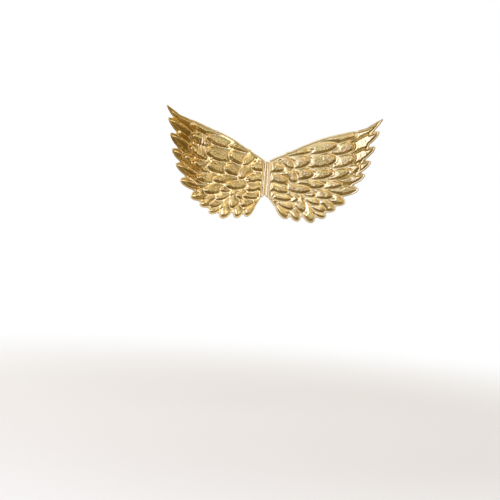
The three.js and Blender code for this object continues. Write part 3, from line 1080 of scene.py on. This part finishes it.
@dataclass(frozen=True)
class FoilFinish:
    """Gold film on knitted cloth: smooth where it is pressed, grained where the padding lifts it."""

    name: str = "gold_foil_cloth"
    pressed: Rgb = (0.94, 0.82, 0.54)
    padded: Rgb = (0.85, 0.75, 0.38)
    ruddy: Rgb = (0.84, 0.67, 0.4)
    shaded: Rgb = (0.56, 0.45, 0.2)
    # A paler pressed edge with a painted highlight, on the panels' rims and the seam rolls' crests.
    edge: Rgb = (0.98, 0.87, 0.6)
    # Painted shade along the weld lines, over pointed feathers' flats and in the seam's crease and sides.
    painted_weld_shade: Rgb = (0.5, 0.36, 0.1)
    # Painted shade: the darker amber of the left panel's turned-back fan.
    painted_fan_shade: Rgb = (0.62, 0.4, 0.12)
    rough_pressed: float = 0.13
    rough_padded: float = 0.18
    coat: float = 0.4
    coat_roughness: float = 0.15
    # Less metal on the rim keeps its painted highlight pale whatever it mirrors.
    edge_dulling: float = 0.45
    edge_roughness: float = 0.07
    fan_calming: float = 2.0
    relief: float = 0.0014

    def material(self) -> bpy.types.Material:
        """The foil's material, from the shares of padding and the feathers' tones that the mesh holds."""
        made = bpy.data.materials.new(self.name)
        g = Graph(made)
        puff, tone, rim, weld = (g.attribute(name) for name in ("puff", "tone", "rim", "weld"))
        warm, place = g.attribute("warm"), g.place()
        crinkle = g.attribute("crinkle") * (1.0 - warm * self.fan_calming)
        blotch = g.noise(place, 130.0, 3.0, 0.6)
        grain = g.noise(place, 900.0, 3.0, 0.7)
        crumple = g.noise(place, 300.0, 2.0, 0.55)
        lifted = (puff * 1.6).clamped()
        worn = ((blotch - 0.42) * 2.6 * crinkle + (tone - 0.5) * 0.5).clamped()
        hue = ((g.noise(place, 75.0, 2.0) - 0.5) * 5.0 + 0.5).clamped()
        full = g.mix(hue, self.padded, self.ruddy)
        base = g.mix(lifted, self.pressed, g.mix(worn, full, self.shaded))
        # Painted highlight on the rims, over a paler pressed edge.
        base = g.mix(rim, base, self.edge)
        # Painted shade: the turned-back fan darkened to amber.
        base = g.mix(warm, base, self.painted_fan_shade)
        # Painted shade along the welds and the seam's crease and sides.
        base = g.mix(weld, base, self.painted_weld_shade)
        rough = lifted * (self.rough_padded - self.rough_pressed) + self.rough_pressed + (blotch - 0.5) * 0.12
        rough = rough + rim * self.edge_roughness
        height = lifted * crinkle * (grain * 0.3 + crumple * 0.7) + blotch * 0.35
        g.finish(
            "ShaderNodeBsdfPrincipled",
            {
                "Base Color": base,
                "Metallic": 1.0 - rim * self.edge_dulling,
                "Roughness": rough,
                "Coat Weight": self.coat,
                "Coat Roughness": self.coat_roughness,
                "Normal": g.bump(height, self.relief),
            },
        )
        return made


@dataclass(frozen=True)
class ElasticFinish:
    """Plain woven elastic: fine crosswise threads between lengthwise ribs."""

    name: str = "woven_elastic"
    thread: Rgb = (0.62, 0.5, 0.29)
    gap: Rgb = (0.4, 0.3, 0.15)
    picks: float = 14.0
    cords: float = 7.5
    relief: float = 0.0003

    def material(self) -> bpy.types.Material:
        """The elastic's material, its weave laid along the band's own map."""
        made = bpy.data.materials.new(self.name)
        g = Graph(made)
        cloth = g.cloth()
        across = (cloth.part(1) * (2.0 * math.pi * self.cords)).sine()
        along = (cloth.part(0) * (2.0 * math.pi * self.picks) + across * 1.4).sine()
        weave = along * 0.25 + across * 0.25 + 0.5
        fuzz = g.noise(g.place(), 1500.0, 3.0, 0.7)
        base = g.mix((weave + (fuzz - 0.5) * 0.4).clamped(), self.gap, self.thread)
        g.finish(
            "ShaderNodeBsdfPrincipled",
            {
                "Base Color": base,
                "Roughness": 0.78,
                "Sheen Weight": 0.25,
                "Sheen Roughness": 0.4,
                "Normal": g.bump(weave + fuzz * 0.3, self.relief, 0.9),
            },
        )
        return made


@dataclass(frozen=True)
class FloorFinish:
    """The studio's pale floor: matte round the object, and fading into the white behind it."""

    name: str = "pale_floor"
    tint: Rgb = (0.86, 0.89, 0.95)
    mottled: Rgb = (0.82, 0.85, 0.91)
    matte_radius: float = 0.5
    white_radius: float = 1.7

    def material(self) -> bpy.types.Material:
        """The floor's material, its white share rising with the distance from the middle."""
        made = bpy.data.materials.new(self.name)
        g = Graph(made)
        place = g.place()
        x, y = place.part(0), place.part(1)
        away = ((x * x + y * y) ** 0.5 - self.matte_radius) * (1.0 / (self.white_radius - self.matte_radius))
        white = g.node("ShaderNodeMapRange", {"interpolation_type": "SMOOTHSTEP"}, {"Value": away})
        mottle = g.noise(place, 3.0, 2.0)
        matte = g.mix(mottle * 0.1, self.tint, self.mottled)
        g.finish(
            "ShaderNodeBsdfPrincipled",
            {
                "Base Color": g.mix(white, matte, BLACK),
                "Emission Color": g.mix(white, BLACK, WHITE),
                "Emission Strength": 1.0,
                "Roughness": 0.9,
                "Specular IOR Level": 0.0,
            },
        )
        return made


# The studio


def direction(azimuth: float, elevation: float) -> Vector:
    """The way from the origin to a place round the wings, azimuth 0 in front of the feathers."""
    level = math.cos(elevation)
    return Vector((math.sin(azimuth) * level, -math.cos(azimuth) * level, math.sin(elevation)))


@dataclass(frozen=True)
class Lamp:
    """A soft rectangular light that looks at the wings. Its direction is in degrees, its sizes in metres.

    Azimuth 0 is in front of the feathers and 90 on their right. Brightness is the light's radiance.
    """

    name: str
    azimuth: float
    elevation: float
    distance: float
    width: float
    height: float
    brightness: float
    tint: Rgb = (1.0, 0.98, 0.94)

    def build(self) -> bpy.types.Object:
        """The light's object."""
        data = bpy.data.lights.new(self.name, "AREA")
        data.shape, data.size, data.size_y = "RECTANGLE", self.width, self.height
        data.energy = self.brightness * math.pi * self.width * self.height
        data.color = self.tint
        lamp = add_object(self.name, data)
        away = direction(math.radians(self.azimuth), math.radians(self.elevation))
        lamp.location = away * self.distance
        lamp.rotation_euler = (-away).to_track_quat("-Z", "Y").to_euler()
        return lamp


@dataclass
class Studio:
    """Camera, floor and lights. The camera stands where the photograph was taken from.

    The frame's side and the origin's place in it are in pixels.
    """

    azimuth: float = math.radians(-16.84)
    elevation: float = math.radians(-0.44)
    roll: float = math.radians(3.66)
    distance: float = 3.2
    pixels_per_metre: float = 436.5
    frame: float = 500.0
    origin_x: float = 265.65
    origin_y: float = 178.12
    sensor: float = 36.0
    floor_drop: float = 0.55
    floor_radius: float = 6.0
    floor_rings: int = 24
    floor_points: int = 96
    card_azimuth: float = math.radians(23.0)
    card_low: Rgb = (0.75, 0.58, 0.32)
    card_high: Rgb = (2.05, 1.65, 0.9)
    card_edge: float = 0.91
    card_sharpness: float = 18.0
    card_rise: float = 3.0
    card_level: float = 0.65
    behind_tint: Rgb = (1.9, 1.95, 2.1)
    behind_sharpness: float = 2.0
    surroundings: Sequence[tuple[float, Sequence[float]]] = (
        (0.0, (0.22, 0.165, 0.075)),
        (0.48, (0.3, 0.235, 0.13)),
        (0.6, (0.38, 0.31, 0.2)),
        (0.75, (0.48, 0.44, 0.38)),
        (1.0, (0.48, 0.44, 0.38)),
    )
    lamps: Sequence[Lamp] = field(default_factory=list)

    def camera(self) -> bpy.types.Object:
        """The camera.

        It looks at the origin from the photograph's side, is rolled, and is then turned by the two small
        angles that bring the origin to its place in the picture.

        Returns:
            The camera's object.
        """
        back = direction(self.azimuth, self.elevation)
        right = Vector((math.cos(self.azimuth), math.sin(self.azimuth), 0.0))
        up = back.cross(right)
        focal = self.pixels_per_metre * self.distance
        turned = Matrix((right, up, back)).transposed() @ Matrix.Rotation(self.roll, 3, "Z")
        aside = math.atan2(self.origin_x - self.frame / 2.0, focal)
        below = math.atan2(self.origin_y - self.frame / 2.0, focal)
        turned = turned @ Matrix.Rotation(aside, 3, "Y") @ Matrix.Rotation(below, 3, "X")
        data = bpy.data.cameras.new("camera")
        data.sensor_width, data.lens = self.sensor, focal / self.frame * self.sensor
        camera = add_object("camera", data)
        camera.matrix_world = Matrix.Translation(back * self.distance) @ turned.to_4x4()
        bpy.context.scene.camera = camera
        return camera

    def floor(self) -> bpy.types.Object:
        """A round level floor below the wings, which mirrored rays don't see."""
        rings, around = self.floor_rings, self.floor_points
        radius = np.linspace(0.0, 1.0, rings)[:, None] * self.floor_radius
        turn = np.linspace(0.0, 2.0 * math.pi, around, endpoint=False)[None, :]
        level = np.full((rings, around), -self.floor_drop)
        points = np.stack([radius * np.cos(turn), radius * np.sin(turn), level], axis=-1)
        piece = mesh_object("floor", points.reshape(-1, 3) / MM, tube_faces(rings, around).tolist())
        piece.visible_glossy = False
        return piece

    def build(self) -> None:
        """Sets up the camera, the floor, the lights and the picture's tone curve."""
        self.camera()
        self.floor().data.materials.append(FloorFinish().material())
        for lamp in self.lamps:
            lamp.build()
        world = bpy.data.worlds.new("studio")
        bpy.context.scene.world = world
        g = Graph(world)
        seen = g.node("ShaderNodeLightPath", {}, {}, "Is Camera Ray")
        towards = g.node("ShaderNodeTexCoord", {}, {}, "Generated")
        x, y, z = (towards.part(axis) for axis in range(3))
        around = g.node("ShaderNodeValToRGB", {"ramp": self.surroundings}, {"Fac": z * 0.5 + 0.5})
        facing = (x * math.sin(self.card_azimuth) - y * math.cos(self.card_azimuth)) * (x * x + y * y) ** -0.5
        card = ((facing - self.card_edge) * self.card_sharpness).clamped()
        height = (z * self.card_rise + self.card_level).clamped()
        tint = g.mix(height, self.card_low, self.card_high)
        dimmed = g.mix(card, around, tint, "MULTIPLY")
        behind = (y * self.behind_sharpness).clamped()
        lit = g.mix(behind, dimmed, self.behind_tint, "MULTIPLY")
        shade = g.mix(seen, lit, WHITE)
        g.finish("ShaderNodeBackground", {"Color": shade, "Strength": 1.0})
        bpy.context.scene.view_settings.view_transform = "Standard"


# Assembly

LAMPS = [
    # name, azimuth, elevation, distance, width, height, brightness, tint
    Lamp("left_key", -49, 4, 3.6, 2.2, 3.0, 1.9, (0.95, 0.98, 1.4)),
    Lamp("left_side", -86, 4, 2.8, 1.9, 2.4, 2.2),
    Lamp("front_fill", -4, 2, 4.4, 1.8, 1.9, 0.53),
    Lamp("right_fill", 47, 3, 3.4, 0.8, 1.0, 1.85),
    Lamp("right_side", 72, 3, 3.4, 1.8, 1.6, 0.55),
    Lamp("overhead", -14, 64, 2.4, 1.8, 1.2, 0.9),
    Lamp("back_left", 215, 30, 2.8, 1.4, 1.4, 1.8),
    Lamp("back_right", 145, 20, 2.8, 1.0, 1.6, 1.4),
]

LEFT_PULLS = (
    Pull(26, -52, 26, -2.8, -0.2, 0),
    Pull(68, -38, 26, 0, -1.8, 0),
    Pull(90, 0, 30, 0.8, -0.6, 0),
    Pull(100, 44, 16, 0.4, -1.2, 0),
    Pull(69, 12, 9, 0, 0, -1),
    Pull(58, 28, 18, 0, -1.5, 0),
    Pull(0, -36, 9, 0, -3, 0),
)
RIGHT_PULLS = (
    Pull(26, -52, 26, 0.4, -0.4, 0),
    Pull(68, -38, 26, -0.6, 1, 0),
    Pull(90, 0, 30, 0.4, 0.4, 0),
    Pull(100, 44, 16, 1, 0.8, 0),
)
LEFT_FOLD = Fold(65, math.radians(9.0), 12.0)
RIGHT_FOLD = Fold(76, math.radians(-14.0), 3.0)
LEFT_BUCKLES = (
    Buckle(66, 13, 5, 10, 2.8, 4.2),
    Buckle(60.5, -9, 4.5, 4.5, 2.6, 2.8),
    Buckle(57, -17, 3, 4, 3.0, 2.0),
)


def dress(piece: bpy.types.Object, material: bpy.types.Material, node: str) -> None:
    """Gives a piece its material, hangs it from the body, hides the imported solid that it stands for and
    logs its faces.
    """
    piece.data.materials.append(material)
    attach(piece, BODY)
    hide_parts(node)
    LOG.info("%s: %d faces", piece.name, len(piece.data.polygons))


def main() -> None:
    """Builds the studio and every piece, and reports each."""
    logging.basicConfig(level=logging.INFO, format="%(message)s")
    Studio(lamps=LAMPS).build()
    foil = FoilFinish().material()
    elastic = ElasticFinish().material()
    pattern = WingPattern()
    pressed = pattern.build()
    seam = SeamShape()
    wings = [
        Wing(Side.LEFT, pattern, pressed, seam, LEFT_PULLS, LEFT_FOLD, LEFT_BUCKLES, seed=11, fan_shade_and_crown=0.27),
        Wing(Side.RIGHT, pattern, pressed, seam, RIGHT_PULLS, RIGHT_FOLD, seed=31),
    ]
    for wing in wings:
        panel = wing.build()
        dress(panel, foil, wing.node)
    dress(CentreSeam(seam).build(), foil, "centre_seam")
    for side in Side:
        strap = ShoulderStrap(side, seam)
        dress(strap.build(), elastic, f"{side.name.lower()}_shoulder_strap")


if __name__ == "__main__":
    main()
